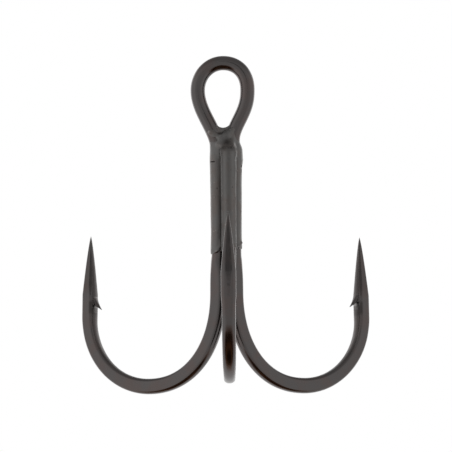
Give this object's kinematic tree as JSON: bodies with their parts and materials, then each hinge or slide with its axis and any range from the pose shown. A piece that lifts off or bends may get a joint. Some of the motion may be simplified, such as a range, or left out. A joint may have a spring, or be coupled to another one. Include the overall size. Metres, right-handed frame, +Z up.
{
  "type": "treble fishing hook",
  "caption": "Treble fishing hook: a double hook bent round a pear-shaped eye, a single hook brazed into its front groove, barbed points, dark nickel plate.",
  "frame": {"origin": "centre of the round part of the eye, where a split ring hangs", "axes": "+Z up the shank towards the top of the eye, +X across the eye, -Y towards the single hook; the shank axis is parallel to Z at x 0.29 mm, y -0.45 mm"},
  "size_m": [0.0302, 0.0263, 0.035],
  "materials": {
    "double_wire_plate": "high carbon steel wire under satin black nickel plate",
    "single_wire_plate": "high carbon steel wire under satin black nickel plate",
    "braze_plate": "brazing brass with small pits, under the same black nickel plate"
  },
  "bodies": {
    "root": {"double_hook_wire": "double_wire_plate", "single_hook_wire": "single_wire_plate", "braze_joint": "braze_plate"}
  },
  "joints": []
}
